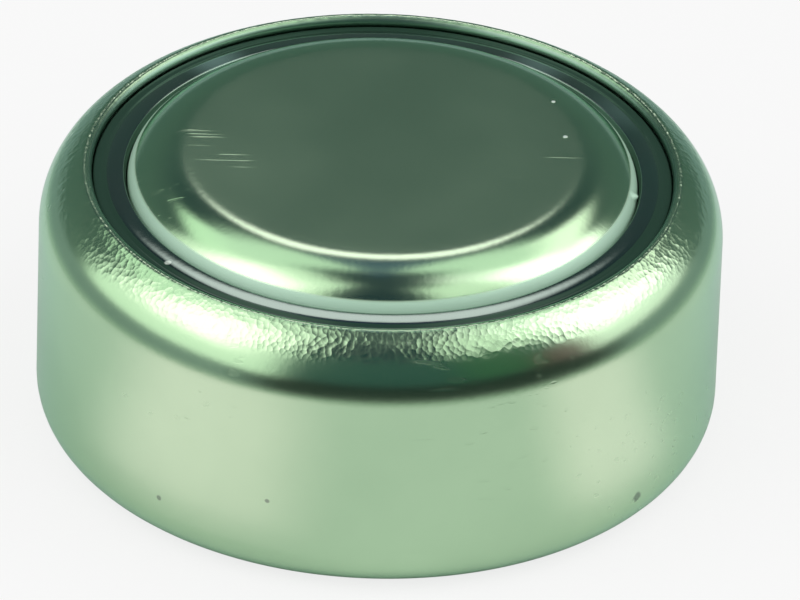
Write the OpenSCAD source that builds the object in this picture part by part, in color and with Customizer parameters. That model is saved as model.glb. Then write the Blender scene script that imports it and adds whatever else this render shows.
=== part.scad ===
// Alkaline button cell, 11.6 mm across and 5.2 mm high, in millimetres.
// The can's flat floor is the positive contact and lies on z = 0. The cap's face is the
// negative contact and looks up +Z. Every piece is turned about the Z axis.
// Each section below is drawn in the plane of radius (x) and height (y), then spun.

/* [Cell] */
// Outside diameter of the can
can_d = 11.6; // [11.2:0.05:12]
// Height over both contacts
cell_h = 5.2; // [5:0.02:5.4]

/* [Positive can] */
// Thickness of the nickel-plated steel sheet
can_t = 0.25; // [0.2:0.01:0.3]
// Height that the cap's face stands above the crimped rim
cap_rise = 0.4; // [0.32:0.02:0.5]
// Outside radius where the floor turns up into the wall
can_foot_r = 0.74; // [0.5:0.02:0.8]
// Outside radius of the crimped shoulder
crimp_bend_r = 1.3; // [1.1:0.05:1.4]
// Angle through which the wall is bent over, in degrees
crimp_turn = 58; // [53:1:60]
// How far the crimp reaches in from the outside of the wall
crimp_reach = 0.88; // [0.86:0.01:0.96]

/* [Negative cap] */
// Thickness of the cap's clad steel sheet
cap_t = 0.2; // [0.16:0.01:0.24]
// Width of the rounded shoulder between the flat face and the wall
cap_shoulder_w = 1.05; // [0.9:0.01:1.09]
// Outside radius of the shoulder next to the flat face
cap_crown_r = 1.3; // [1.15:0.05:1.6]
// Outside radius of the shoulder next to the wall
cap_edge_r = 0.4; // [0.32:0.02:0.6]
// Depth of the step below the flat face
cap_step_depth = 1.25; // [1.15:0.01:1.35]
// Outside radius of the step's corner
cap_step_r = 0.3; // [0.27:0.01:0.36]
// Radius in the root of the step
cap_root_r = 0.15; // [0.1:0.01:0.2]
// Height of the skirt, from its folded edge up to the step
cap_skirt_h = 1.1; // [1:0.01:1.2]
// Height of the layer that is folded back up outside the skirt
cap_fold_h = 0.8; // [0.6:0.02:0.9]
// Slit left between the skirt and its folded layer
cap_fold_gap = 0.04; // [0.02:0.01:0.08]

/* [Sealing gasket] */
// Width of the ring left open between the cap and the crimped lip
seal_w = 0.6; // [0.54:0.01:0.68]
// Thickness of the sleeve between the skirt and the can
gasket_wall_t = 0.46; // [0.4:0.01:0.5]
// Thickness of the foot below the skirt
gasket_foot_t = 0.4; // [0.3:0.01:0.5]
// Thickness of the inner lip that stands inside the skirt
gasket_lip_t = 0.2; // [0.15:0.01:0.3]
// Height of the inner lip above the foot
gasket_lip_h = 0.45; // [0.3:0.01:0.6]
// Radius of the bead that swells out of the open ring
gasket_bead_r = 0.8; // [0.7:0.05:1.5]
// Depth of the bead's crown below the rim
gasket_recess = 0.1; // [0.06:0.01:0.14]

/* [Support ring] */
// Thickness of the support ring's sheet
ring_t = 0.2; // [0.15:0.01:0.25]
// Height of the support ring, as a share of the cathode pellet's
ring_share = 0.55; // [0.45:0.01:0.6]
// Width of the ring's flange, measured in from the can
ring_flange_w = 0.95; // [0.8:0.01:1.1]
// Outside radius of the ring's bend
ring_bend_r = 0.32; // [0.28:0.01:0.4]

/* [Separator and anode] */
// Thickness of the barrier film
barrier_t = 0.08; // [0.05:0.01:0.12]
// Thickness of the absorbent felt
absorbent_t = 0.25; // [0.15:0.01:0.3]
// Empty height left above the zinc gel for swelling
gel_headspace = 0.4; // [0.25:0.01:0.6]

/* [Fits] */
// Radial clearance between pieces that seat in each other
fit_gap = 0.02; // [0.015:0.005:0.03]
// Radial clearance round the separator discs
disc_gap = 0.1; // [0.06:0.01:0.15]

/* [Hidden] */
$fn = 96;

// Radii, from the can inwards
can_r = can_d / 2;
bore_r = can_r - can_t;
lip_r = can_r - crimp_reach;
cap_r = lip_r - seal_w;
face_r = cap_r - cap_shoulder_w;
skirt_out_r = bore_r - gasket_wall_t - 2 * fit_gap;
skirt_r = skirt_out_r - cap_t - cap_fold_gap;
gasket_bore_r = skirt_r - cap_t - fit_gap - gasket_lip_t;
ring_r = bore_r - fit_gap;
ring_bore_r = bore_r - ring_flange_w;
disc_r = bore_r - disc_gap;

// Heights, from the cap's face downwards: the cathode pellet takes what is left
can_rim_h = cell_h - cap_rise;
gel_top = cell_h - cap_t - gel_headspace;
step_z = cell_h - cap_step_depth;
skirt_z = step_z - cap_skirt_h;
gasket_seat = skirt_z - fit_gap - gasket_foot_t;
barrier_top = gasket_seat - absorbent_t;
pellet_top = barrier_top - barrier_t;
ring_h = ring_share * (pellet_top - can_t);

// Crimp: centre of the bend, length of the straight land, and centre of the rounded lip
land_l = (can_r - crimp_bend_r + (crimp_bend_r - can_t / 2) * cos(crimp_turn) - lip_r - can_t / 2)
         / sin(crimp_turn);
lip_rise = (crimp_bend_r - can_t / 2) * sin(crimp_turn) + land_l * cos(crimp_turn);
lip_c = [lip_r + can_t / 2, can_rim_h - can_t / 2];
bend_c = [can_r - crimp_bend_r, lip_c.y - lip_rise];
across = [cos(crimp_turn), sin(crimp_turn)];
along = [-sin(crimp_turn), cos(crimp_turn)];

// Cap shoulder: the two arcs meet, tangent, at crown_a degrees above the horizontal
crown_a = acos((cap_shoulder_w - cap_edge_r) / (cap_crown_r - cap_edge_r));
crown_c = [face_r, cell_h - cap_crown_r];
edge_c = crown_c + (cap_crown_r - cap_edge_r) * [cos(crown_a), sin(crown_a)];
step_w = skirt_r - cap_r;
step_r = min(cap_step_r, 0.6 * step_w);
root_r = min(cap_root_r, 0.35 * step_w);
fold_r = cap_t + cap_fold_gap / 2;
fold_c = [skirt_r + cap_fold_gap / 2, skirt_z + fold_r];
fold_top = skirt_z + cap_fold_h;

// Rectangle between two radii and two heights
module block(r0, r1, z0, z1) {
    translate([r0, z0]) square([r1 - r0, z1 - z0]);
}

// Disc of radius r about a point of the section
module spot(centre, r) {
    translate(centre) circle(r);
}

// What lies inwards of the lip: cut square across the end of the land
module mouth_space() {
    below = lip_c - 2 * can_t * across;
    polygon([lip_c + 2 * can_t * across, below, [below.x, can_foot_r], [0, can_foot_r],
             [0, cell_h]]);
}

// What lies inside the can's outer surface, moved inwards by inset. The land runs on past
// the lip, for mouth_space to trim.
module can_space(inset) {
    past_lip = (land_l + can_t) * along;
    block(0, can_r - can_foot_r, inset, bend_c.y);
    block(0, can_r - inset, can_foot_r, bend_c.y);
    spot([can_r - can_foot_r, can_foot_r], can_foot_r - inset);
    spot(bend_c, crimp_bend_r - inset);
    polygon([bend_c,
             bend_c + (crimp_bend_r - inset) * across,
             bend_c + (crimp_bend_r - inset) * across + past_lip,
             bend_c + past_lip]);
}

// Slice of a disc between two angles less than 90 degrees apart
module slice(centre, r, a0, a1) {
    reach = 2 * r;
    intersection() {
        spot(centre, r);
        polygon([centre,
                 centre + reach * [cos(a0), sin(a0)],
                 centre + reach * [cos(a1), sin(a1)]]);
    }
}

// What lies inside the cap's outer surface and above its fold, moved inwards by inset
module cap_space(inset) {
    wall_r = cap_r - inset;
    block(0, face_r, crown_c.y, cell_h - inset);
    slice(crown_c, cap_crown_r - inset, crown_a, 90);
    spot(edge_c, cap_edge_r - inset);
    block(0, wall_r, fold_c.y, edge_c.y);
    difference() {
        block(wall_r - root_r, cap_r + root_r, step_z - inset, step_z + root_r);
        spot([cap_r + root_r, step_z + root_r], root_r + inset);
    }
    block(0, skirt_r - step_r, fold_c.y, step_z - inset);
    spot([skirt_r - step_r, step_z - step_r], step_r - inset);
    block(0, skirt_r - inset, fold_c.y, step_z - step_r);
}

// The folded edge of the skirt, grown by gap
module fold_space(gap) {
    spot(fold_c, fold_r + gap);
    block(skirt_r - cap_t - gap, skirt_out_r + gap, fold_c.y, fold_top + gap);
}

// Deep-drawn positive can with its mouth crimped over the gasket
module positive_can() {
    color("#b4bfae") rotate_extrude() {
        difference() {
            can_space(0);
            can_space(can_t);
            mouth_space();
        }
        spot(lip_c, can_t / 2);
    }
}

// Pressed manganese dioxide pellet, stepped where the support ring bites into it
module cathode_pellet() {
    chamfer = can_foot_r - can_t + fit_gap;
    ledge_z = pellet_top - ring_h;
    color("#26262a") rotate_extrude() {
        polygon([[0, can_t], [ring_r - chamfer, can_t], [ring_r, can_t + chamfer],
                 [ring_r, ledge_z], [0, ledge_z]]);
        block(0, ring_r - ring_t - fit_gap, can_t + chamfer, pellet_top - ring_bend_r);
        block(0, ring_r - ring_bend_r, can_t + chamfer, pellet_top - ring_t);
        spot([ring_r - ring_bend_r, pellet_top - ring_bend_r], ring_bend_r - ring_t - fit_gap);
        block(0, ring_bore_r - fit_gap, can_t + chamfer, pellet_top);
    }
}

// What lies inside the support ring's outer surface, moved inwards by inset
module ring_space(inset) {
    block(0, ring_r - ring_bend_r, pellet_top - ring_h, pellet_top - inset);
    block(0, ring_r - inset, pellet_top - ring_h, pellet_top - ring_bend_r);
    spot([ring_r - ring_bend_r, pellet_top - ring_bend_r], ring_bend_r - inset);
}

// Steel support ring that carries the gasket and the edge of the separator
module support_ring() {
    color("#a9a9a4") rotate_extrude() {
        difference() {
            ring_space(0);
            ring_space(ring_t);
            block(0, ring_bore_r, can_t, pellet_top);
        }
    }
}

// Cellophane film next to the cathode
module separator_barrier() {
    color("#d8cfa8") translate([0, 0, pellet_top]) cylinder(r = disc_r, h = barrier_t);
}

// Non-woven felt that holds the electrolyte
module absorbent_disc() {
    color("#eeeae0") translate([0, 0, barrier_top]) cylinder(r = disc_r, h = absorbent_t);
}

// Gelled zinc powder that fills the cap up to its headspace
module anode_gel() {
    color("#7d8084") rotate_extrude() {
        block(0, gasket_bore_r - fit_gap, gasket_seat, step_z - step_r);
        intersection() {
            cap_space(cap_t + fit_gap);
            block(0, skirt_r, skirt_z + gasket_lip_h + fit_gap, gel_top);
        }
    }
}

// Moulded nylon gasket: sleeve, foot and inner lip round the skirt, and the open bead
module sealing_gasket() {
    lip_top = skirt_z + gasket_lip_h;
    bead_c = [(cap_r + lip_r) / 2, can_rim_h - gasket_recess - gasket_bead_r];
    color("#3c3246") rotate_extrude() {
        difference() {
            union() {
                intersection() {
                    can_space(can_t + fit_gap);
                    block(gasket_bore_r, can_r, gasket_seat, can_rim_h);
                }
                intersection() {
                    spot(bead_c, gasket_bead_r);
                    mouth_space();
                    block(cap_r, can_r, step_z, can_rim_h);
                }
            }
            cap_space(-fit_gap);
            fold_space(fit_gap);
            spot(lip_c, can_t / 2 + fit_gap);
        }
        block(gasket_bore_r, skirt_r - cap_t - fit_gap, gasket_seat, lip_top);
    }
}

// Drawn negative cap: crown, step, and a skirt whose edge is folded back up
module negative_cap() {
    color("#8fa596") rotate_extrude() {
        difference() {
            union() {
                cap_space(0);
                fold_space(0);
            }
            cap_space(cap_t);
            block(skirt_r, skirt_r + cap_fold_gap, fold_c.y, step_z - step_r);
            spot(fold_c, cap_fold_gap / 2);
        }
    }
}

positive_can();
cathode_pellet();
support_ring();
separator_barrier();
absorbent_disc();
anode_gel();
sealing_gasket();
negative_cap();
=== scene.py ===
# %% [markdown]
# # A button cell
# The CAD model of the cell is exact, but its meshes are coarse and its metal is smooth. This
# lesson turns the three pieces that show, the can, the gasket and the cap, again on a finer
# lathe, hammers the crimp, and gives every piece its finish. Sizes are in metres, so a
# millimetre is written as a number times MM.

import math

import bpy
from mathutils import Matrix, Vector, noise


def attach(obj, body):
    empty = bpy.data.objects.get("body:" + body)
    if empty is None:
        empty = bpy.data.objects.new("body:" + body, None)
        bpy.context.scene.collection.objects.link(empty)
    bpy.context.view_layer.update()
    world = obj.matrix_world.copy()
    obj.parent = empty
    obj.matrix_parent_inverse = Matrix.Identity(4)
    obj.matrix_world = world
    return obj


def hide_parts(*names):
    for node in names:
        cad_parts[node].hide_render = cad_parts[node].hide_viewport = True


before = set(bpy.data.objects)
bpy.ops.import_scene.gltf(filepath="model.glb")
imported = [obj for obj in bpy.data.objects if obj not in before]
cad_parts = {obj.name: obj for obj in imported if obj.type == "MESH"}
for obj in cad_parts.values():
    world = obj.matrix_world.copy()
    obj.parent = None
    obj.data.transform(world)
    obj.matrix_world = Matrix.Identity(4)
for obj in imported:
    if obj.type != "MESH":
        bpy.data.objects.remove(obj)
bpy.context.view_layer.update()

# %% [markdown]
# ## Sizes
# These are the numbers of the CAD source. The can is a cup of steel sheet whose mouth is
# bent over the gasket. The cap is a shallow cup with a step and a folded skirt, and the
# gasket fills the ring between the two. Every arc is kept as a centre and a radius, so that
# the pieces that nest in each other share their centres and differ by a wall or a gap.

# %% Sizes of the can
MM = 0.001
CELL_H = 5.2 * MM
FIT_GAP = 0.02 * MM

CAN_R = 5.8 * MM
CAN_T = 0.25 * MM
CAN_RIM_H = 4.8 * MM
CAN_FOOT_R = 0.74 * MM
CRIMP_BEND_R = 1.3 * MM
CRIMP_TURN = math.radians(58)
LIP_R = 4.92 * MM

ACROSS = Vector((math.cos(CRIMP_TURN), math.sin(CRIMP_TURN)))
ALONG = Vector((-ACROSS.y, ACROSS.x))
SHEET_MID_R = CRIMP_BEND_R - CAN_T / 2
LAND_L = (CAN_R - CRIMP_BEND_R + SHEET_MID_R * ACROSS.x - LIP_R - CAN_T / 2) / ACROSS.y
LIP_C = Vector((LIP_R + CAN_T / 2, CAN_RIM_H - CAN_T / 2))
BEND_C = Vector((CAN_R - CRIMP_BEND_R, LIP_C.y - SHEET_MID_R * ACROSS.y - LAND_L * ACROSS.x))
print("straight land of the crimp", round(LAND_L / MM, 3), "mm")

# %% Sizes of the cap and the gasket
CAP_T = 0.2 * MM
CAP_R = 4.32 * MM
CAP_FACE_R = 3.27 * MM
CAP_CROWN_R = 1.3 * MM
CAP_EDGE_R = 0.4 * MM
CROWN_C = Vector((CAP_FACE_R, CELL_H - CAP_CROWN_R))
CROWN_TURN = math.acos((CAP_R - CAP_FACE_R - CAP_EDGE_R) / (CAP_CROWN_R - CAP_EDGE_R))
EDGE_C = CROWN_C + (CAP_CROWN_R - CAP_EDGE_R) * Vector((math.cos(CROWN_TURN), math.sin(CROWN_TURN)))

ROOT_R = 0.15 * MM
ROOT_H = 4.10 * MM
STEP_C = Vector((4.516, 3.656)) * MM
STEP_R = 0.294 * MM
FOLD_C = Vector((4.83, 3.07)) * MM
FOLD_R = 0.22 * MM
FOLD_SLIT = 0.02 * MM
FOLD_TOP_H = 3.65 * MM

GASKET_FLOOR_H = 2.43 * MM
GASKET_POCKET_H = 3.30 * MM
GASKET_BORE_R = 4.39 * MM
print("cap edge arc is centred", [round(value / MM, 3) for value in EDGE_C], "mm")

# %% [markdown]
# ## A lathe
# Every piece of the cell is round, so each is drawn as half a section, a chain of vertices in
# the plane of radius and height, and then turned about the Z axis. The chain is drawn as by
# hand: one vertex, extruded along each straight and spun round each bend. The Screw modifier
# does the turning, because the Spin operator takes minutes over several hundred steps.

# %% Drawing a section
def start_section(name, radius, height):
    """Adds a mesh of one vertex in the XZ plane and stays in edit mode."""
    bpy.ops.object.select_all(action="DESELECT")
    bpy.ops.mesh.primitive_plane_add(size=MM, location=(0, 0, 0))
    piece = bpy.context.object
    piece.name = name
    piece.data.name = name
    bpy.ops.object.mode_set(mode="EDIT")
    bpy.ops.mesh.merge(type="CENTER")
    bpy.ops.transform.translate(value=(radius, 0, height))
    return Vector((radius, height))


def straight(here, there, steps=1):
    """Extrudes the section's end to another point, in equal steps."""
    step = (Vector(there) - here) / steps
    for _ in range(steps):
        bpy.ops.mesh.extrude_region_move(TRANSFORM_OT_translate={"value": (step.x, 0, step.y)})
    return Vector(there)


def bend(here, centre, turn, steps):
    """Spins the section's end about a point; a positive turn is anticlockwise in the section."""
    bpy.ops.mesh.spin(steps=steps, angle=turn, center=(centre[0], 0, centre[1]), axis=(0, 1, 0))
    arm = here - Vector(centre)
    cos_t = math.cos(turn)
    sin_t = math.sin(turn)
    return Vector(centre) + Vector((arm.x * cos_t - arm.y * sin_t, arm.x * sin_t + arm.y * cos_t))


# %% Turning it
MERGE_SECTION = 0.0001 * MM
MERGE_SOLID = 0.0005 * MM


def turn_section(steps):
    """Turns the whole section once round the Z axis and closes it into a solid."""
    bpy.ops.mesh.select_all(action="SELECT")
    bpy.ops.mesh.remove_doubles(threshold=MERGE_SECTION)
    bpy.ops.object.mode_set(mode="OBJECT")
    piece = bpy.context.object
    lathe = piece.modifiers.new("lathe", "SCREW")
    lathe.axis = "Z"
    lathe.angle = math.tau
    lathe.steps = steps
    lathe.render_steps = steps
    bpy.ops.object.modifier_apply(modifier=lathe.name)
    bpy.ops.object.mode_set(mode="EDIT")
    bpy.ops.mesh.select_all(action="SELECT")
    bpy.ops.mesh.remove_doubles(threshold=MERGE_SOLID)
    bpy.ops.mesh.normals_make_consistent(inside=False)
    bpy.ops.object.mode_set(mode="OBJECT")
    bpy.ops.object.shade_smooth()
    print(piece.name, "has", len(piece.data.polygons), "faces")
    return piece


# %% [markdown]
# ## The can
# The can is pressed from one disc of nickel-plated steel: a flat floor, a rounded foot, a
# straight wall, and a mouth that a crimping die turns inwards over the gasket. It carries the
# hammered crimp, so it gets the finest lathe, with most of its rings on the bend.

# %% Turn the can
HALF_TURN = math.pi
QUARTER_TURN = math.pi / 2
CAN_STEPS = 900


def turn_can(steps):
    """Floor, foot, wall, crimp and lip from outside, then back down the inside."""
    bore_r = CAN_R - CAN_T
    foot_c = (CAN_R - CAN_FOOT_R, CAN_FOOT_R)
    end = start_section("can_shell", 0, 0)
    end = straight(end, (foot_c[0], 0), 4)
    end = bend(end, foot_c, QUARTER_TURN, 12)
    end = straight(end, (CAN_R, BEND_C.y), 5)
    end = bend(end, BEND_C, CRIMP_TURN, 42)
    end = straight(end, end + LAND_L * ALONG, 3)
    end = bend(end, LIP_C, HALF_TURN, 12)
    end = straight(end, end - LAND_L * ALONG, 1)
    end = bend(end, BEND_C, -CRIMP_TURN, 8)
    end = straight(end, (bore_r, foot_c[1]), 1)
    end = bend(end, foot_c, -QUARTER_TURN, 5)
    straight(end, (0, CAN_T), 1)
    return turn_section(steps)


can = turn_can(CAN_STEPS)

# %% [markdown]
# ## The cap
# The cap is pressed too: a flat face, a soft crown, a wall that steps outwards below the
# crimp, and a skirt folded back on itself. Its outside is drawn first, round the fold, and
# then the inside on the way back, so that one closed chain gives the sheet its thickness.

# %% Turn the cap
CAP_STEPS = 720


def turn_cap(steps):
    """Face, crown and edge from outside, the step and the folded skirt, and back up inside."""
    crown_turn = QUARTER_TURN - CROWN_TURN
    skirt_r = STEP_C.x + STEP_R
    inner_r = skirt_r - CAP_T
    step_low = STEP_C.y + STEP_R - CAP_T
    inner_wall_r = CAP_R - CAP_T
    inner_root_r = ROOT_R + CAP_T
    end = start_section("cap_shell", 0, CELL_H)
    end = straight(end, (CAP_FACE_R, CELL_H), 16)
    end = bend(end, CROWN_C, -crown_turn, 20)
    end = bend(end, EDGE_C, -CROWN_TURN, 14)
    end = straight(end, (CAP_R, ROOT_H), 3)
    end = bend(end, (CAP_R + ROOT_R, ROOT_H), QUARTER_TURN, 4)
    end = straight(end, (STEP_C.x, STEP_C.y + STEP_R), 1)
    end = bend(end, STEP_C, -QUARTER_TURN, 5)
    end = straight(end, (skirt_r, FOLD_C.y), 1)
    end = bend(end, FOLD_C, HALF_TURN, 4)
    end = straight(end, (FOLD_C.x + FOLD_SLIT, FOLD_TOP_H), 1)
    end = straight(end, (FOLD_C.x + FOLD_R, FOLD_TOP_H), 1)
    end = straight(end, (FOLD_C.x + FOLD_R, FOLD_C.y), 1)
    end = bend(end, FOLD_C, -HALF_TURN, 8)
    end = straight(end, (inner_r, STEP_C.y), 1)
    end = bend(end, STEP_C, QUARTER_TURN, 4)
    end = straight(end, (inner_wall_r + inner_root_r, step_low), 1)
    end = bend(end, (inner_wall_r + inner_root_r, ROOT_H), -QUARTER_TURN, 5)
    end = straight(end, (inner_wall_r, EDGE_C.y), 1)
    end = bend(end, EDGE_C, CROWN_TURN, 5)
    end = bend(end, CROWN_C, crown_turn, 6)
    straight(end, (0, CELL_H - CAP_T), 1)
    return turn_section(steps)


cap = turn_cap(CAP_STEPS)

# %% [markdown]
# ## The gasket
# The gasket is one moulded nylon ring. What shows of it is the bead in the open ring between
# cap and can. From the crimp inwards it has a lip under the can's edge, a shallow valley, a
# top that climbs gently, and an edge that drops to a narrow groove beside the cap. The rest
# of the ring is a sleeve that wraps the cap's skirt.

# %% Turn the gasket
GASKET_STEPS = 720
# The bead's points are (radius, height) in millimetres.
BEAD_LIP = [(4.900, 4.500), (4.900, 4.632), (4.892, 4.645)]
BEAD_VALLEY = [(4.870, 4.650), (4.800, 4.646), (4.760, 4.646), (4.735, 4.651), (4.705, 4.663)]
BEAD_TOP = [(4.670, 4.6733), (4.630, 4.6799), (4.580, 4.6865), (4.530, 4.6916),
            (4.480, 4.6958), (4.430, 4.6990)]
BEAD_EDGE = [(4.400, 4.700), (4.388, 4.697), (4.380, 4.688), (4.378, 4.660),
             (4.372, 4.600), (4.345, 4.590)]
SLEEVE_R = STEP_R + FIT_GAP


def turn_gasket(steps):
    """Sleeve outside the skirt, bead in the open ring, seat on the step and lip inside."""
    bore_r = CAN_R - CAN_T - FIT_GAP
    wall_r = CAP_R + FIT_GAP
    root_r = ROOT_R - FIT_GAP
    fold_r = FOLD_R + FIT_GAP
    seat_h = FOLD_TOP_H + FIT_GAP
    end = start_section("gasket_ring", bore_r, GASKET_FLOOR_H)
    end = straight(end, (bore_r, BEND_C.y), 1)
    end = bend(end, BEND_C, CRIMP_TURN, 10)
    end = straight(end, end + LAND_L / 2 * ALONG, 1)
    for point in BEAD_LIP + BEAD_VALLEY + BEAD_TOP + BEAD_EDGE:
        end = straight(end, Vector(point) * MM, 1)
    end = straight(end, (wall_r, EDGE_C.y), 1)
    end = straight(end, (wall_r, ROOT_H), 1)
    end = bend(end, (wall_r + root_r, ROOT_H), QUARTER_TURN, 4)
    end = straight(end, (STEP_C.x, STEP_C.y + SLEEVE_R), 1)
    end = bend(end, STEP_C, -QUARTER_TURN, 5)
    end = straight(end, (FOLD_C.x, seat_h), 1)
    end = straight(end, (FOLD_C.x + fold_r, seat_h), 1)
    end = straight(end, (FOLD_C.x + fold_r, FOLD_C.y), 1)
    end = bend(end, FOLD_C, -HALF_TURN, 8)
    end = straight(end, (FOLD_C.x - fold_r, GASKET_POCKET_H), 1)
    end = straight(end, (GASKET_BORE_R, GASKET_POCKET_H), 1)
    end = straight(end, (GASKET_BORE_R, GASKET_FLOOR_H), 1)
    straight(end, (bore_r, GASKET_FLOOR_H), 1)
    return turn_section(steps)


gasket = turn_gasket(GASKET_STEPS)

# %% [markdown]
# ## The hammered crimp
# The crimping die leaves the bend covered with small dents. They change the outline of every
# highlight, so they are real shape and not only bump: each vertex of the upper bend moves
# along its normal, always inwards, by a depth read from smooth noise. Two sizes of noise give
# dents about 0.13 mm and pits about 0.07 mm across.

# %% Peen the crimp
PEEN_LOW = math.radians(33)
PEEN_FULL = math.radians(43)
LIP_CLEAR = 0.10 * MM
DENTS_PER_M = 7.5 / MM
PITS_PER_M = 15 / MM
PRESS_EVEN, PRESS_DENTS, PRESS_PITS = 0.4, 1.1, 0.5
UPWARD = 0.2
PEEN_DEPTH = 0.0035 * MM


def smooth_share(value, low, high):
    """0 at low, 1 at high, and a smooth step between them."""
    share = max(0.0, min(1.0, (value - low) / (high - low)))
    return share * share * (3 - 2 * share)


def peen_share(point):
    """How hard the die struck a point of the outside: only the upper bend, not the lip."""
    radius = math.hypot(point.x, point.y)
    climb = math.atan2(point.z - BEND_C.y, radius - BEND_C.x)
    return smooth_share(climb, PEEN_LOW, PEEN_FULL) * smooth_share(radius, LIP_R, LIP_R + LIP_CLEAR)


def peen_crimp(piece, depth):
    """Presses small dents into the crimp where it faces upwards."""
    mesh = piece.data
    points = [vertex.co.copy() for vertex in mesh.vertices]
    normals = [normal.vector.copy() for normal in mesh.vertex_normals]
    moved = 0
    for index, (point, normal) in enumerate(zip(points, normals)):
        if point.z < BEND_C.y or normal.z < UPWARD:
            continue
        dents = noise.noise(point * DENTS_PER_M)
        pits = noise.noise(point * PITS_PER_M)
        press = max(0.0, PRESS_EVEN + PRESS_DENTS * dents + PRESS_PITS * pits)
        points[index] = point - normal * depth * peen_share(point) * press
        moved += 1
    mesh.vertices.foreach_set("co", [value for point in points for value in point])
    mesh.update()
    print("peened", moved, "vertices")


peen_crimp(can, PEEN_DEPTH)

# %% [markdown]
# ## A burr on the cap
# The cell has lain among others, and one spot of the cap's edge is nicked: a burr of metal
# stands out over the gasket. The vertices around that spot are pulled outwards, most at its
# middle, so the burr leaves no seam.

# %% Raise the burr
BURR_AT = Vector((4.27, -0.46, 4.735)) * MM
BURR_REACH = 0.10 * MM
BURR_HEIGHT = 0.12 * MM


def raise_burr(piece, at, reach, height):
    """Pulls the mesh outwards around one point."""
    pull = Vector((at.x, at.y, 0)).normalized()
    raised = 0
    for vertex in piece.data.vertices:
        away = (vertex.co - at).length
        if away < reach:
            vertex.co += pull * height * (1 - away / reach)
            raised += 1
    print("burr of", raised, "vertices")


raise_burr(cap, BURR_AT, BURR_REACH, BURR_HEIGHT)

# %% [markdown]
# ## Each new piece stands for its CAD solid
# The CAD solids stay for collision and mass. The new pieces take their place in the picture
# and ride on the only body there is.

# %% Replace the three outer solids
for piece, node, slot in (
    (can, "positive_can", "can_plate"),
    (cap, "negative_cap", "cap_plate"),
    (gasket, "sealing_gasket", "gasket_nylon"),
):
    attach(piece, "root")
    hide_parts(node)
    print(piece.name, "replaces", node)

# %% [markdown]
# ## Helpers for materials
# A material is a small tree of nodes. Writing each one out is long, so one helper adds a node
# with its settings and its inputs at once: an input that is given as another node's socket is
# linked, and a plain number or colour is set on the input itself.

# %% Node helpers
def feed(tree, inputs, values):
    """Links or sets inputs by name; inputs are those of a node or of a group's output."""
    for name, value in values.items():
        if isinstance(value, bpy.types.NodeSocket):
            tree.links.new(value, inputs[name])
        else:
            inputs[name].default_value = value


def add_node(tree, kind, settings=None, inputs=None):
    """Adds a node, sets its properties, and links or sets its inputs."""
    node = tree.nodes.new("ShaderNode" + kind)
    for name, value in (settings or {}).items():
        setattr(node, name, value)
    feed(tree, node.inputs, inputs or {})
    return node


def calculate(tree, operation, *values):
    """A Math node's result."""
    return add_node(tree, "Math", {"operation": operation}, dict(enumerate(values))).outputs[0]


def ramp(tree, value, low, high, to_low=0.0, to_high=1.0):
    """Maps a value from low..high to another range, with a smooth step."""
    inputs = {"Value": value, "From Min": low, "From Max": high, "To Min": to_low, "To Max": to_high}
    return add_node(tree, "MapRange", {"interpolation_type": "SMOOTHSTEP"}, inputs).outputs["Result"]


def blend_colours(tree, share, first, second):
    """Mixes two colours, each a socket or a plain triple."""
    inputs = {0: share}
    for index, colour in ((6, first), (7, second)):
        inputs[index] = colour if isinstance(colour, bpy.types.NodeSocket) else (*colour, 1)
    return add_node(tree, "Mix", {"data_type": "RGBA"}, inputs).outputs[2]


def new_material(name):
    """A material, its tree, its Principled shader and its Object coordinates."""
    material = bpy.data.materials.new(name)
    material.use_nodes = True
    tree = material.node_tree
    place = add_node(tree, "TexCoord").outputs["Object"]
    return material, tree, tree.nodes["Principled BSDF"], place


# %% Measuring a place
def axes(tree, place):
    """The X, Y and Z of a place."""
    return add_node(tree, "SeparateXYZ", inputs={"Vector": place}).outputs


def radius_of(tree, parts):
    """How far a place lies from the Z axis."""
    flat = add_node(tree, "CombineXYZ", inputs={"X": parts["X"], "Y": parts["Y"]}).outputs[0]
    return add_node(tree, "VectorMath", {"operation": "LENGTH"}, {0: flat}).outputs["Value"]


def azimuth_of(tree, parts):
    """Direction in degrees: 0 is away from the camera (+Y), 90 is right (+X)."""
    return calculate(tree, "DEGREES", calculate(tree, "ARCTAN2", parts["X"], parts["Y"]))


def distance_to(tree, place, point):
    """How far a place lies from a point."""
    ends = {0: place, 1: point}
    return add_node(tree, "VectorMath", {"operation": "DISTANCE"}, ends).outputs["Value"]


def soft_noise(tree, place, scale, detail):
    """Smooth noise about one half."""
    inputs = {"Vector": place, "Scale": scale, "Detail": detail}
    return add_node(tree, "TexNoise", inputs=inputs).outputs["Fac"]


def cell_noise(tree, place, scale):
    """Distance to the middle of the nearest of many small cells."""
    inputs = {"Vector": place, "Scale": scale}
    return add_node(tree, "TexVoronoi", {"feature": "F1"}, inputs).outputs["Distance"]


# %% Glow and mixtures
def glow_of(tree, colour):
    """A shader that glows in one colour."""
    return add_node(tree, "Emission", inputs={"Color": colour}).outputs[0]


def mix_shaders(tree, share, first, second):
    """The first shader where the share is 0 and the second where it is 1."""
    return add_node(tree, "MixShader", inputs={0: share, 1: first, 2: second}).outputs[0]


# %% [markdown]
# ## Effects that several finishes share
# Mottling, fine grain, hairline scuffs and single spots turn up on more than one piece. Each
# is a node group with named inputs and outputs, built once and placed in each material with
# that material's own scale and colours. A group gives out only colours, masks and heights.

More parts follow.
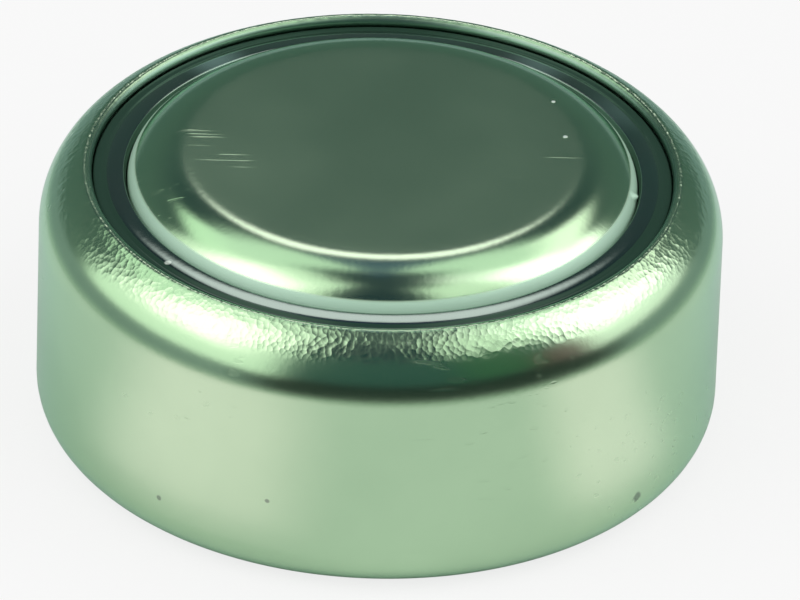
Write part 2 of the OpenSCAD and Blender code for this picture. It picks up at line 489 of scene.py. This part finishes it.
# %% Build the shared groups
def new_group(name, inputs, outputs):
    """An empty group; inputs are name: (socket type, value), outputs are name: socket type."""
    group = bpy.data.node_groups.new(name, "ShaderNodeTree")
    for label, (kind, value) in inputs.items():
        socket = group.interface.new_socket(label, in_out="INPUT", socket_type="NodeSocket" + kind)
        if value is not None:
            socket.default_value = value
    for label, kind in outputs.items():
        group.interface.new_socket(label, in_out="OUTPUT", socket_type="NodeSocket" + kind)
    given = group.nodes.new("NodeGroupInput").outputs
    result = group.nodes.new("NodeGroupOutput").inputs
    return group, given, result


def mottle_group():
    """Cloudy change between two colours."""
    group, given, result = new_group(
        "mottle",
        {"Vector": ("Vector", None), "Scale": ("Float", 400), "Dark": ("Color", (0, 0, 0, 1)),
         "Light": ("Color", (1, 1, 1, 1))},
        {"Colour": "Color", "Cloud": "Float"})
    wide = ramp(group, soft_noise(group, given["Vector"], given["Scale"], 4), 0.2, 0.8)
    colour = blend_colours(group, wide, given["Dark"], given["Light"])
    feed(group, result, {"Colour": colour, "Cloud": wide})
    return group


def grain_group():
    """Height of a fine even grain."""
    group, given, result = new_group(
        "fine_grain", {"Vector": ("Vector", None), "Scale": ("Float", 9000)}, {"Height": "Float"})
    feed(group, result, {"Height": soft_noise(group, given["Vector"], given["Scale"], 2)})
    return group


def scuff_group():
    """Mask of thin hairlines that run one way, and break off and start again."""
    group, given, result = new_group(
        "scuffs", {"Vector": ("Vector", None), "Turn": ("Vector", (0, 0, 0)), "Scale": ("Float", 500)},
        {"Mask": "Float"})
    inputs = {"Vector": given["Vector"], "Rotation": given["Turn"], "Scale": (1, 30, 30)}
    along = add_node(group, "Mapping", inputs=inputs).outputs[0]
    hairs = soft_noise(group, along, given["Scale"], 1)
    where = soft_noise(group, given["Vector"], given["Scale"], 1)
    mask = calculate(group, "MULTIPLY", ramp(group, hairs, 0.66, 0.72), ramp(group, where, 0.5, 0.6))
    feed(group, result, {"Mask": mask})
    return group


def spot_group():
    """Mask of one round spot with a soft, slightly ragged edge."""
    group, given, result = new_group(
        "spot",
        {"Vector": ("Vector", None), "Place": ("Vector", (0, 0, 0)), "Radius": ("Float", 0.0001)},
        {"Mask": "Float"})
    away = distance_to(group, given["Vector"], given["Place"])
    ragged = soft_noise(group, given["Vector"], 8 / MM, 2)
    edge = calculate(group, "ADD", calculate(group, "DIVIDE", away, given["Radius"]), ragged)
    feed(group, result, {"Mask": ramp(group, edge, 1.0, 1.6, 1.0, 0.0)})
    return group


MOTTLE = mottle_group()
GRAIN = grain_group()
SCUFFS = scuff_group()
SPOT = spot_group()
print("shared groups", [group.name for group in bpy.data.node_groups])

# %% Placing a group
def add_group(tree, group, inputs):
    """Places a shared group in a tree and returns its outputs."""
    return add_node(tree, "Group", {"node_tree": group}, inputs).outputs


def mottle(tree, place, scale, dark, light):
    """Clouds between two plain colours."""
    inputs = {"Vector": place, "Scale": scale, "Dark": (*dark, 1), "Light": (*light, 1)}
    return add_group(tree, MOTTLE, inputs)


def scuffs(tree, place, turn, scale):
    """Mask of hairlines turned by the given angles."""
    return add_group(tree, SCUFFS, {"Vector": place, "Turn": turn, "Scale": scale})["Mask"]


def grain(tree, place, scale):
    """Height of the fine grain."""
    return add_group(tree, GRAIN, {"Vector": place, "Scale": scale})["Height"]


def spot(tree, place, at, radius):
    """Mask of one spot; its place and radius are in millimetres."""
    inputs = {"Vector": place, "Place": Vector(at) * MM, "Radius": radius * MM}
    return add_group(tree, SPOT, inputs)["Mask"]


def bump(tree, height, distance):
    """A Bump node's normal; distance is how deep a height of 1 is."""
    return add_node(tree, "Bump", inputs={"Height": height, "Distance": distance}).outputs["Normal"]


# %% [markdown]
# ## Nickel plate
# The steel sheet is plated with nickel, which is a satin, slightly green mirror. Its look is
# almost all reflection, so the finish is made of small things: clouds of tarnish that change
# the colour and the gloss a little, a fine grain in the surface, and hairline scuffs.

# %% Layers of plate
PLATE_DARK = (0.47, 0.69, 0.45)
PLATE_LIGHT = (0.54, 0.77, 0.51)
PLATE_TINT = (0.80, 0.95, 0.95, 1)
PLATE_RELIEF = 0.01 * MM
SCUFF_TURN = (0.3, 0.2, 0.9)
SCUFF_ROUGHER = 0.06
SCUFF_HEIGHT = -0.15
GRAIN_HEIGHT = 0.10


def plate_layers(tree, place, dark, light, rough_low, rough_high):
    """Colour, roughness and height of the plate, before any wear of its own."""
    clouds = mottle(tree, place, 300, dark, light)
    hairs = scuffs(tree, place, SCUFF_TURN, 260)
    fine = calculate(tree, "MULTIPLY", grain(tree, place, 9 / MM), GRAIN_HEIGHT)
    gloss = ramp(tree, clouds["Cloud"], 0, 1, rough_low, rough_high)
    rough = calculate(tree, "MULTIPLY_ADD", hairs, SCUFF_ROUGHER, gloss)
    height = calculate(tree, "MULTIPLY_ADD", hairs, SCUFF_HEIGHT, fine)
    return clouds["Colour"], rough, height


def finish_plate(tree, shader, colour, rough, height, metallic=1):
    """Sets the shader up as plate."""
    normal = bump(tree, height, PLATE_RELIEF)
    feed(tree, shader.inputs, {"Base Color": colour, "Roughness": rough, "Normal": normal,
                               "Metallic": metallic, "Specular Tint": PLATE_TINT})


# %% [markdown]
# ## The can's plate
# On top of the dents the die leaves small cups, finer than the mesh. They are a Voronoi
# pattern in the bump, limited to the upper bend by height and radius. The very edge of the
# mouth is smooth and duller, and darker with painted shade where it meets the gasket. A dark
# nick low on the wall and two dull spots are placed.

# %% Finish the can
WALL_MARKS = (  # place in millimetres, radius in millimetres
    ((4.459, -3.710, 0.779), 0.11),
    ((-3.568, -4.572, 1.008), 0.06),
    ((-1.747, -5.530, 1.650), 0.05),
)
CAN_ROUGH = (0.19, 0.22)
MARK_COLOUR = (0.16, 0.20, 0.17)
MARK_SHARE = 0.7
CUPS_PER_M = 12 / MM
CUP_DEPTH = 0.45
CUPS_FROM_R = 4.98 * MM
CUPS_FULL_R = 5.08 * MM
PEEN_FROM_H = 4.33 * MM
PEEN_TO_H = 4.50 * MM
LIP_SHADE_FROM_R = 4.95 * MM
LIP_SHADE_TO_R = 5.01 * MM
# Colour of painted shade on the lip where it meets the gasket
LIP_PAINTED_SHADE = (0.20, 0.34, 0.26)
LIP_ROUGHER = 0.12


def finish_can(piece):
    """Plate with marks on the wall, a duller mouth with painted shade and cups on the crimp."""
    material, tree, shader, place = new_material("can_plate")
    colour, rough, height = plate_layers(tree, place, PLATE_DARK, PLATE_LIGHT, *CAN_ROUGH)
    for at, radius in WALL_MARKS:
        mark = calculate(tree, "MULTIPLY", spot(tree, place, at, radius), MARK_SHARE)
        colour = blend_colours(tree, mark, colour, MARK_COLOUR)
    parts = axes(tree, place)
    struck = ramp(tree, parts["Z"], PEEN_FROM_H, PEEN_TO_H)
    from_axis = radius_of(tree, parts)
    edge = ramp(tree, from_axis, LIP_SHADE_FROM_R, LIP_SHADE_TO_R, 1.0, 0.0)
    # The lip mask paints shade on the inner lip beside the gasket, and also makes it rougher
    lip = calculate(tree, "MULTIPLY", struck, edge)
    colour = blend_colours(tree, lip, colour, LIP_PAINTED_SHADE)
    rough = calculate(tree, "MULTIPLY_ADD", lip, LIP_ROUGHER, rough)
    bowls = calculate(tree, "POWER", cell_noise(tree, place, CUPS_PER_M), 2)
    where = calculate(tree, "MULTIPLY", struck, ramp(tree, from_axis, CUPS_FROM_R, CUPS_FULL_R))
    cups = calculate(tree, "MULTIPLY", bowls, where)
    height = calculate(tree, "MULTIPLY_ADD", cups, CUP_DEPTH, height)
    finish_plate(tree, shader, colour, rough, height)
    piece.data.materials.append(material)


finish_can(can)
print("finished", can.name)

# %% [markdown]
# ## The cap's plate
# The cap has the same plate. Round the foot of its wall a ring of it is rough and hardly
# metal, and painted pale as a highlight: a mirror there would be dark, because it looks into
# the groove. Three pale specks of dirt are placed on the face and the crown.

# %% Finish the cap
CAP_ROUGH = (0.16, 0.18)
DULL_FROM_H = 4.79 * MM
DULL_TO_H = 4.84 * MM
# Pale colour of the ring round the wall's foot, a painted highlight
PAINTED_HIGHLIGHT_COLOUR = (0.51, 0.75, 0.585)
DULL_ROUGHER = 0.25
DULL_LESS_METAL = -0.9
CAP_SPECKS = (  # place in millimetres, radius in millimetres
    ((2.856, 1.719, 5.193), 0.045),
    ((3.066, 0.599, 5.200), 0.050),
    ((0.124, 3.900, 5.030), 0.035),
)
SPECK_COLOUR = (0.80, 0.92, 0.84)
SPECK_LESS_METAL = -0.7
SPECK_HEIGHT = 0.8


def finish_cap(piece):
    """Plate with a rough pale ring of painted highlight round the foot of the wall and a few specks.
    """
    material, tree, shader, place = new_material("cap_plate")
    colour, rough, height = plate_layers(tree, place, PLATE_DARK, PLATE_LIGHT, *CAP_ROUGH)
    dull = ramp(tree, axes(tree, place)["Z"], DULL_FROM_H, DULL_TO_H, 1.0, 0.0)
    # The dull ring's pale colour is a painted highlight
    colour = blend_colours(tree, dull, colour, PAINTED_HIGHLIGHT_COLOUR)
    rough = calculate(tree, "MULTIPLY_ADD", dull, DULL_ROUGHER, rough)
    metal = calculate(tree, "MULTIPLY_ADD", dull, DULL_LESS_METAL, 1.0)
    for at, radius in CAP_SPECKS:
        speck = spot(tree, place, at, radius)
        colour = blend_colours(tree, speck, colour, SPECK_COLOUR)
        metal = calculate(tree, "MULTIPLY_ADD", speck, SPECK_LESS_METAL, metal)
        height = calculate(tree, "MULTIPLY_ADD", speck, SPECK_HEIGHT, height)
    finish_plate(tree, shader, colour, rough, height, metal)
    piece.data.materials.append(material)


finish_cap(cap)
print("finished", cap.name)

# %% [markdown]
# ## The gasket's nylon
# The nylon is nearly black, with clouds of blue and maroon in it. Its inner part is glossy
# from the mould, and mirrors more strongly than real nylon does, so that the strip light
# shows in it. Its outer part, down in the valley, is matt and greener. Three pale patches on
# its far side are painted reflection, and one crumb is caught in the ring.

# %% Finish the gasket
NYLON_BLUE = (0.007, 0.016, 0.015)
NYLON_MAROON = (0.015, 0.008, 0.012)
NYLON_MATT = (0.024, 0.056, 0.038)
MATT_FROM_R = 4.65 * MM
MATT_FULL_R = 4.68 * MM
NYLON_SHEEN = (0.70, 1.0, 0.82, 1)
# Pale patches of painted reflection on the far side of the gasket
PAINTED_REFLECTION_SPOTS = (  # place in millimetres, radius in millimetres, share
    ((-2.95, 3.55, 4.68), 0.75, 0.20),
    ((2.65, 3.80, 4.68), 0.80, 0.12),
    ((4.10, 2.35, 4.68), 0.90, 0.06),
)
PAINTED_REFLECTION_COLOUR = (0.62, 1.0, 0.94)
CRUMB = ((-3.538, -2.988, 4.69), 0.06)
CRUMB_COLOUR = (0.62, 0.70, 0.62)
NYLON_INDEX = 3.6
NYLON_ROUGH = (0.07, 0.10)
NYLON_RELIEF = 0.0006 * MM
GLOSSY_LEVEL, MATT_LEVEL = 0.5, 0.05


def finish_gasket(piece):
    """Glossy nylon with a matt outer part, painted reflection patches and a crumb."""
    material, tree, shader, place = new_material("gasket_nylon")
    clouds = mottle(tree, place, 330, NYLON_BLUE, NYLON_MAROON)
    colour = clouds["Colour"]
    # The film mask paints reflection: pale patches on the far side, not a real film
    for at, radius, share in PAINTED_REFLECTION_SPOTS:
        off = distance_to(tree, place, Vector(at) * MM)
        film = ramp(tree, off, 0, radius * MM, share, 0.0)
        colour = blend_colours(tree, film, colour, PAINTED_REFLECTION_COLOUR)
    matt = ramp(tree, radius_of(tree, axes(tree, place)), MATT_FROM_R, MATT_FULL_R)
    colour = blend_colours(tree, matt, colour, NYLON_MATT)
    colour = blend_colours(tree, spot(tree, place, *CRUMB), colour, CRUMB_COLOUR)
    feed(tree, shader.inputs, {
        "Base Color": colour,
        "Roughness": ramp(tree, clouds["Cloud"], 0, 1, *NYLON_ROUGH),
        "Normal": bump(tree, grain(tree, place, 6 / MM), NYLON_RELIEF),
        "Specular IOR Level": ramp(tree, matt, 0, 1, GLOSSY_LEVEL, MATT_LEVEL),
        "IOR": NYLON_INDEX,
        "Specular Tint": NYLON_SHEEN})
    piece.data.materials.append(material)


finish_gasket(gasket)
print("finished", gasket.name)

# %% [markdown]
# ## The hidden pieces
# Inside the can lie the pressed pellet, its steel ring, the barrier film, the felt and the
# zinc gel. Nobody sees them until the cell is cut open, but each keeps its CAD solid and gets
# the finish of the real thing, made from the same shared groups where it can be.

# %% A finish for each hidden piece
def dress(node, material):
    """Gives a carried-over CAD solid its material."""
    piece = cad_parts[node]
    piece.data.materials.clear()
    piece.data.materials.append(material)
    print("finished", node)


def pressed_powder():
    """Black manganese dioxide with graphite: matt, with a few glinting grains."""
    material, tree, shader, place = new_material("cathode_mix")
    clouds = mottle(tree, place, 900, (0.012, 0.012, 0.014), (0.040, 0.040, 0.046))
    grains = cell_noise(tree, place, 12 / MM)
    glint = ramp(tree, grains, 0.10, 0.16, 1.0, 0.0)
    feed(tree, shader.inputs, {
        "Base Color": blend_colours(tree, glint, clouds["Colour"], (0.12, 0.12, 0.13)),
        "Roughness": ramp(tree, glint, 0, 1, 0.88, 0.45),
        "Normal": bump(tree, grains, 0.02 * MM)})
    return material


def plain_plate():
    """Unworn nickel plate, as on the can but clean and grey."""
    material, tree, shader, place = new_material("ring_plate")
    dark, light = (0.50, 0.50, 0.47), (0.60, 0.60, 0.57)
    colour, rough, height = plate_layers(tree, place, dark, light, 0.28, 0.38)
    finish_plate(tree, shader, colour, rough, height)
    return material


def barrier_film():
    """Thin amber film, smooth, with faint flow marks."""
    material, tree, shader, place = new_material("barrier_film")
    clouds = mottle(tree, place, 260, (0.62, 0.53, 0.30), (0.76, 0.69, 0.45))
    flow = scuffs(tree, place, (0, 0, 0.4), 300)
    feed(tree, shader.inputs, {
        "Base Color": clouds["Colour"],
        "Roughness": ramp(tree, flow, 0, 1, 0.25, 0.40),
        "Normal": bump(tree, flow, 0.001 * MM)})
    return material


def soaked_felt():
    """Off-white felt: crossing fibres made of three sets of hairlines."""
    material, tree, shader, place = new_material("absorbent_felt")
    clouds = mottle(tree, place, 1500, (0.66, 0.64, 0.58), (0.86, 0.84, 0.79))
    fibres = scuffs(tree, place, (0, 0, 0.2), 700)
    for turn in (1.4, 2.5):
        fibres = calculate(tree, "MAXIMUM", fibres, scuffs(tree, place, (0, 0, turn), 700))
    feed(tree, shader.inputs, {
        "Base Color": blend_colours(tree, fibres, clouds["Colour"], (0.92, 0.90, 0.86)),
        "Roughness": 0.92,
        "Normal": bump(tree, fibres, 0.015 * MM)})
    return material


def zinc_gel():
    """Grey gel full of zinc grains."""
    material, tree, shader, place = new_material("zinc_gel")
    clouds = mottle(tree, place, 1100, (0.16, 0.17, 0.18), (0.27, 0.28, 0.29))
    zinc = ramp(tree, cell_noise(tree, place, 9 / MM), 0.22, 0.32, 1.0, 0.0)
    feed(tree, shader.inputs, {
        "Base Color": blend_colours(tree, zinc, clouds["Colour"], (0.44, 0.45, 0.47)),
        "Roughness": ramp(tree, zinc, 0, 1, 0.32, 0.50),
        "Normal": bump(tree, zinc, 0.01 * MM)})
    return material


dress("cathode_pellet", pressed_powder())
dress("support_ring", plain_plate())
dress("separator_barrier", barrier_film())
dress("absorbent_disc", soaked_felt())
dress("anode_gel", zinc_gel())

# %% [markdown]
# ## The table and the world
# The cell stands on plain pale paper. The paper glows a little to the camera alone, so that
# the picture's ground is near white and the shadow stays, while the light on the cell does
# not change. On two sides it also glares at the metal alone, from a little way out, as paper
# does in front of a lamp. The world is plain white where the camera or a reflection sees it.

# %% Floor and world
WHITE = (1, 1, 1)
PAPER_SIZE = 3
PAPER = (0.82, 0.82, 0.82, 1)
FLOOR_SINK = 0.01 * MM
GLOW_TO_CAMERA = 0.8
LEFT_GLARE = (-138, 24, 14)  # middle azimuth, half width, soft
RIGHT_GLARE = (121, 14, 10)
GLARE_SHARE = 0.6
GLARE_FROM_R = 6.3 * MM
GLARE_FULL_R = 8.0 * MM
GLARE_LIGHT = (1.35, 1.10, 1.20)
WORLD_FILL = 0.45


def patch_mask(tree, value, middle, half, soft):
    """1 where a value lies within half of the middle, with soft edges; angles wrap round."""
    off = calculate(tree, "WRAP", calculate(tree, "SUBTRACT", value, middle), 180, -180)
    return ramp(tree, calculate(tree, "ABSOLUTE", off), half - soft, half + soft, 1.0, 0.0)


def pale_floor():
    """A sheet of paper just under the cell."""
    bpy.ops.object.select_all(action="DESELECT")
    bpy.ops.mesh.primitive_plane_add(size=PAPER_SIZE, location=(0, 0, -FLOOR_SINK))
    floor = bpy.context.object
    floor.name = "floor"
    material, tree, shader, place = new_material("floor_paper")
    feed(tree, shader.inputs, {"Base Color": PAPER, "Roughness": 0.9, "Specular IOR Level": 0})
    path = add_node(tree, "LightPath").outputs
    parts = axes(tree, place)
    azimuth = azimuth_of(tree, parts)
    glare = calculate(tree, "MAXIMUM", patch_mask(tree, azimuth, *LEFT_GLARE),
                      patch_mask(tree, azimuth, *RIGHT_GLARE))
    clear = ramp(tree, radius_of(tree, parts), GLARE_FROM_R, GLARE_FULL_R)
    glare = calculate(tree, "MULTIPLY", glare, clear)
    glare = calculate(tree, "MULTIPLY", glare, path["Is Glossy Ray"])
    share = calculate(tree, "MAXIMUM",
                      calculate(tree, "MULTIPLY", path["Is Camera Ray"], GLOW_TO_CAMERA),
                      calculate(tree, "MULTIPLY", glare, GLARE_SHARE))
    tone = blend_colours(tree, path["Is Camera Ray"], GLARE_LIGHT, WHITE)
    surface = mix_shaders(tree, share, shader.outputs[0], glow_of(tree, tone))
    feed(tree, tree.nodes["Material Output"].inputs, {"Surface": surface})
    floor.data.materials.append(material)


def white_world(fill):
    """Plain light from all round, and white to the camera and in reflections."""
    world = bpy.data.worlds.new("studio")
    bpy.context.scene.world = world
    world.use_nodes = True
    tree = world.node_tree
    soft = tree.nodes["Background"]
    feed(tree, soft.inputs, {"Color": (*WHITE, 1), "Strength": fill})
    white = add_node(tree, "Background", inputs={"Color": (*WHITE, 1), "Strength": 1}).outputs[0]
    path = add_node(tree, "LightPath").outputs
    seen = calculate(tree, "MAXIMUM", path["Is Camera Ray"], path["Is Glossy Ray"])
    seen = calculate(tree, "MAXIMUM", seen, path["Is Transmission Ray"])
    surface = mix_shaders(tree, seen, soft.outputs[0], white)
    feed(tree, tree.nodes["World Output"].inputs, {"Surface": surface})


pale_floor()
white_world(WORLD_FILL)
print("floor and world are set")

# %% [markdown]
# ## Two soft boxes
# Two large soft boxes stand left and right of the camera, high up. They light whatever is not
# a mirror: the paper, the nylon and the dull ring. The metal sees them too, but as drawn on
# the tent that comes next, so the lamps themselves are left out of reflections.

# %% Soft boxes
BOX_ELEVATION = 52
BOX_RADIANCE = 1.5


def direction(azimuth, elevation):
    """Unit vector; azimuth 0 is away from the camera (+Y), 90 is right (+X)."""
    a = math.radians(azimuth)
    e = math.radians(elevation)
    return Vector((math.sin(a) * math.cos(e), math.cos(a) * math.cos(e), math.sin(e)))


def soft_box(name, azimuth, elevation, radiance, distance=0.3, width=0.30, height=0.22):
    """A rectangular area lamp that faces the cell."""
    lamp = bpy.data.lights.new(name, "AREA")
    lamp.shape = "RECTANGLE"
    lamp.size = width
    lamp.size_y = height
    lamp.energy = radiance * math.pi * width * height
    holder = bpy.data.objects.new(name, lamp)
    bpy.context.collection.objects.link(holder)
    out = direction(azimuth, elevation)
    turn = out.to_track_quat("Z", "Y").to_matrix().to_4x4()
    holder.matrix_world = Matrix.Translation(out * distance) @ turn
    holder.visible_glossy = False
    print(name, "gives", round(lamp.energy, 3), "W")


soft_box("left_box", -125, BOX_ELEVATION, BOX_RADIANCE)
soft_box("right_box", 110, BOX_ELEVATION, BOX_RADIANCE)

# %% [markdown]
# ## The tent that the metal sees
# Polished metal shows the room, not itself. A studio hangs a tent of dark cloth round such a
# piece and opens white windows in it, and the shape of the windows draws the highlights. Here
# the tent is a ball that only mirror-like rays meet. Its windows and shades are patches by
# direction, each painted over the last: where it is, how wide and high, how soft, and how
# bright.

# %% The tent's patches
TENT_R = 0.5
CLOTH_LOW = (0.10, 0.15, 0.14)
CLOTH_HIGH = (0.010, 0.030, 0.050)
CLOTH_FADE = (15, 55)  # elevations of the low and the high colour
PATCHES = {  # middle azimuth, half width, soft; middle elevation, half height, soft; radiance
    "far horizon": (0, 180, 1, -4, 5, 3, (0.26, 0.30, 0.32)),
    "front cloth": (180, 62, 8, 26, 22, 8, (0.045, 0.100, 0.100)),
    "left window": (-109, 39, 6, 41, 37, 6, (1.15, 1.20, 1.10)),
    "left lamp": (-108, 23, 10, 46, 18, 9, (2.5, 2.1, 2.2)),
    "left link": (-60, 17, 6, 49, 9, 4, (1.05, 1.20, 1.02)),
    "right window": (87, 26, 6, 41, 36, 6, (1.3, 1.25, 1.25)),
    "right lamp": (82, 22, 8, 43, 19, 8, (2.6, 2.4, 2.4)),
    "right link": (52, 18, 5, 47, 10, 4, (1.7, 1.6, 1.55)),
    "right wing": (126, 21, 7, 60, 13, 6, (1.05, 1.10, 1.0)),
    "brown shade": (119, 11, 4, 12, 17, 5, (0.17, 0.07, 0.09)),
    "green shade": (138, 14, 6, 28, 18, 6, (0.05, 0.13, 0.08)),
    "far left panel": (-42, 32, 8, 64, 11, 6, (0.95, 1.05, 0.95)),
    "far right panel": (42, 32, 8, 64, 11, 6, (0.95, 1.05, 0.95)),
    "blue gap": (0, 10, 5, 72, 18, 6, (0.04, 0.08, 0.18)),
    "strip light": (-1, 10, 3, 44.5, 5.5, 2, (2.1, 1.8, 1.95)),
    "dark horizon": (162, 50, 8, 0, 10, 5, (0.020, 0.030, 0.030)),
}
print(len(PATCHES), "patches")

# %% Hang the tent
def only_in_reflections(board):
    """Hides a stage object from everything but mirror-like rays."""
    board.visible_camera = False
    board.visible_diffuse = False
    board.visible_shadow = False
    board.visible_transmission = False


def reflection_tent():
    """A ball round the set that glows by direction."""
    bpy.ops.object.select_all(action="DESELECT")
    bpy.ops.mesh.primitive_uv_sphere_add(segments=48, ring_count=24, radius=TENT_R)
    tent = bpy.context.object
    tent.name = "reflection_tent"
    material, tree, _, place = new_material("tent_cloth")
    unit = add_node(tree, "VectorMath", {"operation": "NORMALIZE"}, {0: place}).outputs["Vector"]
    parts = axes(tree, unit)
    azimuth = azimuth_of(tree, parts)
    elevation = calculate(tree, "DEGREES", calculate(tree, "ARCSINE", parts["Z"]))
    total = blend_colours(tree, ramp(tree, elevation, *CLOTH_FADE), CLOTH_LOW, CLOTH_HIGH)
    for across, half, soft, upward, half_up, soft_up, light in PATCHES.values():
        mask = calculate(tree, "MULTIPLY", patch_mask(tree, azimuth, across, half, soft),
                         patch_mask(tree, elevation, upward, half_up, soft_up))
        total = blend_colours(tree, mask, total, light)
    feed(tree, tree.nodes["Material Output"].inputs, {"Surface": glow_of(tree, total)})
    material.cycles.emission_sampling = "NONE"
    tent.data.materials.append(material)
    only_in_reflections(tent)


reflection_tent()
print("tent is hung")

# %% [markdown]
# ## A low fence
# The tent starts at the horizon, but the paper would show in the metal all the way out to it.
# In a studio the paper is small and its edge is dark. A low ring of card round the cell hides
# the far paper in the same way, pale at its foot and darkest towards the camera, and fades
# out above.

# %% Stand the fence
FENCE_R = 16 * MM
FENCE_H = 8 * MM
FENCE_SHADE = (162, 52, 10)  # middle azimuth, half width, soft
FENCE_PALE = (0.26, 0.31, 0.32)
FENCE_DARK = (0.025, 0.035, 0.033)
FENCE_FOOT = (0.46, 0.52, 0.46)
FOOT_H = 2.2 * MM
FADE_FROM_H = 4.2 * MM
FADE_TO_H = 5.4 * MM


def dark_fence():
    """An open ring that only reflections see."""
    bpy.ops.object.select_all(action="DESELECT")
    bpy.ops.mesh.primitive_cylinder_add(vertices=96, radius=FENCE_R, depth=FENCE_H,
                                        end_fill_type="NOTHING", location=(0, 0, FENCE_H / 2))
    bpy.ops.object.transform_apply(location=True, rotation=False, scale=False)
    fence = bpy.context.object
    fence.name = "dark_fence"
    material, tree, _, place = new_material("fence_card")
    parts = axes(tree, place)
    shade = patch_mask(tree, azimuth_of(tree, parts), *FENCE_SHADE)
    tone = blend_colours(tree, shade, FENCE_PALE, FENCE_DARK)
    tone = blend_colours(tree, ramp(tree, parts["Z"], 0, FOOT_H), FENCE_FOOT, tone)
    clear = add_node(tree, "BsdfTransparent").outputs[0]
    fade = ramp(tree, parts["Z"], FADE_FROM_H, FADE_TO_H)
    surface = mix_shaders(tree, fade, glow_of(tree, tone), clear)
    feed(tree, tree.nodes["Material Output"].inputs, {"Surface": surface})
    material.cycles.emission_sampling = "NONE"
    fence.data.materials.append(material)
    only_in_reflections(fence)


dark_fence()
print("fence stands", FENCE_R / MM, "mm out")

# %% [markdown]
# ## The camera
# The view is a close-up through a long lens, from the front and above, with a small roll. The
# aim point lies on the axis, a little above the middle of the wall, and a tiny turn of the
# camera puts it just left of and above the middle of the frame, so no lens shift is needed.

# %% Camera
FRAME_W = 800
FRAME_H = 600
AIM_PX = (378.757, 292.951)
FOCAL_PX = 12701.3
SENSOR_W = 36
CAMERA_REACH = 216.1 * MM
CAMERA_UP = math.radians(32.4)
CAMERA_ROLL = math.radians(1.9)
AIM_H = 2.32 * MM


def aim_camera():
    """Long lens from the front and above, as if on a copy stand."""
    aim = Vector((0, 0, AIM_H))
    back = Vector((0, -math.cos(CAMERA_UP), math.sin(CAMERA_UP)))
    right = Vector((1, 0, 0))
    up = Vector((0, math.sin(CAMERA_UP), math.cos(CAMERA_UP)))
    x_axis = right * math.cos(CAMERA_ROLL) + up * math.sin(CAMERA_ROLL)
    y_axis = up * math.cos(CAMERA_ROLL) - right * math.sin(CAMERA_ROLL)
    per_px = CAMERA_REACH / FOCAL_PX
    across = x_axis * (FRAME_W / 2 - AIM_PX[0]) * per_px
    upward = y_axis * (FRAME_H / 2 - AIM_PX[1]) * per_px
    centre = aim + across - upward
    eye = aim + back * CAMERA_REACH
    z_axis = (eye - centre).normalized()
    y_axis = (y_axis - z_axis * y_axis.dot(z_axis)).normalized()
    x_axis = y_axis.cross(z_axis)
    lens = bpy.data.cameras.new("camera")
    lens.sensor_width = SENSOR_W
    lens.lens = FOCAL_PX * SENSOR_W / FRAME_W
    lens.clip_start = MM
    camera = bpy.data.objects.new("camera", lens)
    bpy.context.collection.objects.link(camera)
    turn = Matrix((x_axis, y_axis, z_axis)).transposed().to_4x4()
    camera.matrix_world = Matrix.Translation(eye) @ turn
    bpy.context.scene.camera = camera
    print("lens", round(lens.lens, 1), "mm")


aim_camera()
bpy.context.scene.view_settings.view_transform = "Standard"
